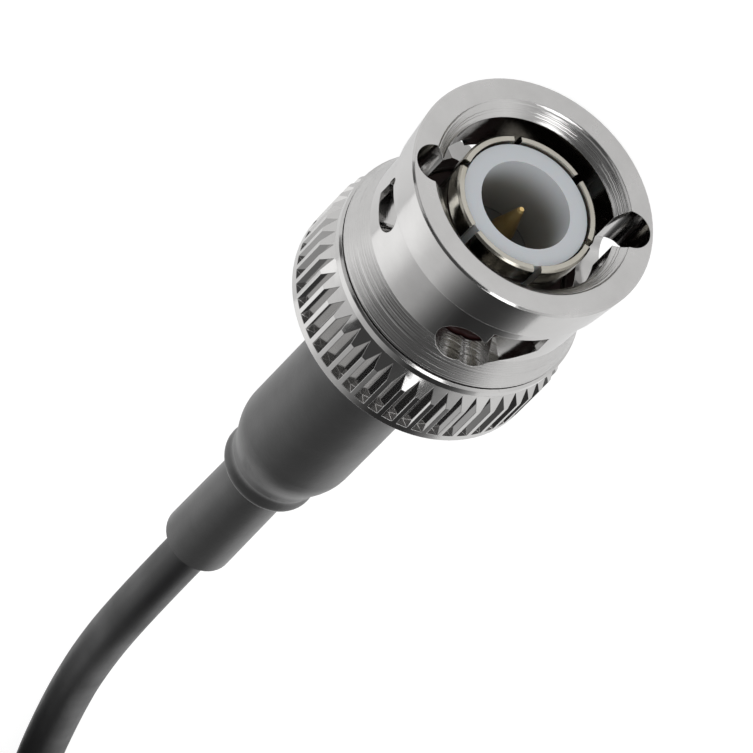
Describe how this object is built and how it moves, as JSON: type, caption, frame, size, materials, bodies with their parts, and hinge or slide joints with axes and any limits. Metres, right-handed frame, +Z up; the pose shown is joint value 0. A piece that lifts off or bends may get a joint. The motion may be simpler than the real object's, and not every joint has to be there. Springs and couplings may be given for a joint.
{
  "type": "ph electrode with bayonet coaxial plug",
  "caption": "Laboratory pH electrode on a thin coaxial lead, with a knurled bayonet plug; the lead is folded into a tied hank and a clear storage cap covers the glass bulb.",
  "frame": {"origin": "on the plug's axis, in the plane of the coupling nut's front face, where the mating jack enters", "axes": "+Y along the plug's axis, away from the mating jack and along the electrode towards its bulb; +Z up from the bench that everything lies on"},
  "size_m": [0.0226, 0.319, 0.016],
  "materials": {
    "nickel_polished": "polished nickel plate on turned brass",
    "nickel_body": "nickel plate on turned brass",
    "contact_silver": "silver-bright plated spring bronze",
    "gold_plate": "gold plate on turned brass, satin",
    "white_fluoropolymer": "white fluoropolymer, slightly see-through",
    "red_silicone": "dark red silicone rubber",
    "spring_steel": "bare spring steel",
    "copper_tinned": "tinned copper",
    "polyethylene": "natural polyethylene",
    "heat_shrink": "matt black heat-shrink",
    "cable_jacket": "satin black jacket",
    "tie_band": "pale grey rubber band",
    "boot_rubber": "matt black soft rubber",
    "head_plastic": "black moulded plastic",
    "epoxy_shaft": "black glass-filled epoxy tube",
    "glass": "clear lead-free glass",
    "ceramic": "porous white ceramic",
    "potting": "dark potting resin",
    "silver_wire": "silver wire",
    "clear_plastic": "clear moulded plastic"
  },
  "bodies": {
    "plug_and_electrode": {"connector_body": "nickel_body", "outer_contact": "contact_silver", "front_insulator": "white_fluoropolymer", "rear_insulator": "white_fluoropolymer", "centre_contact": "gold_plate", "gasket": "red_silicone", "wave_washer": "spring_steel", "retaining_ring": "spring_steel", "crimp_ferrule": "nickel_body", "cable_braid": "copper_tinned", "cable_core": "polyethylene", "cable_jacket_end": "cable_jacket", "heat_shrink_sleeve": "heat_shrink", "lead_run": "cable_jacket", "lead_hank": "cable_jacket", "lead_tail": "cable_jacket", "hank_tie": "tie_band", "cable_boot": "boot_rubber", "electrode_head": "head_plastic", "head_ring": "red_silicone", "electrode_shaft": "epoxy_shaft", "glass_stem": "glass", "reference_junction": "ceramic", "stem_potting": "potting", "reference_wire": "silver_wire", "measuring_wire": "silver_wire"},
    "float_washer": {"thrust_washer": "spring_steel"},
    "nut": {"coupling_nut": "nickel_polished"},
    "cap": {"storage_cap": "clear_plastic", "cap_ring": "red_silicone"}
  },
  "joints": [
    {"name": "nut_float", "type": "slide", "parent": "plug_and_electrode", "child": "float_washer", "axis": [0, -1, 0], "range_m": [0, 0.0004], "stiffness_N_per_m": 1000, "springref_m": -0.0002, "deforming": ["wave_washer"]},
    {"name": "nut_turn", "type": "hinge", "parent": "float_washer", "child": "nut", "pos_m": [0, 0.0105, 0], "axis": [0, -1, 0], "continuous": true},
    {"name": "cap_slide", "type": "slide", "parent": "plug_and_electrode", "child": "cap", "axis": [0, 1, 0], "range_m": [0, 0.035]}
  ]
}
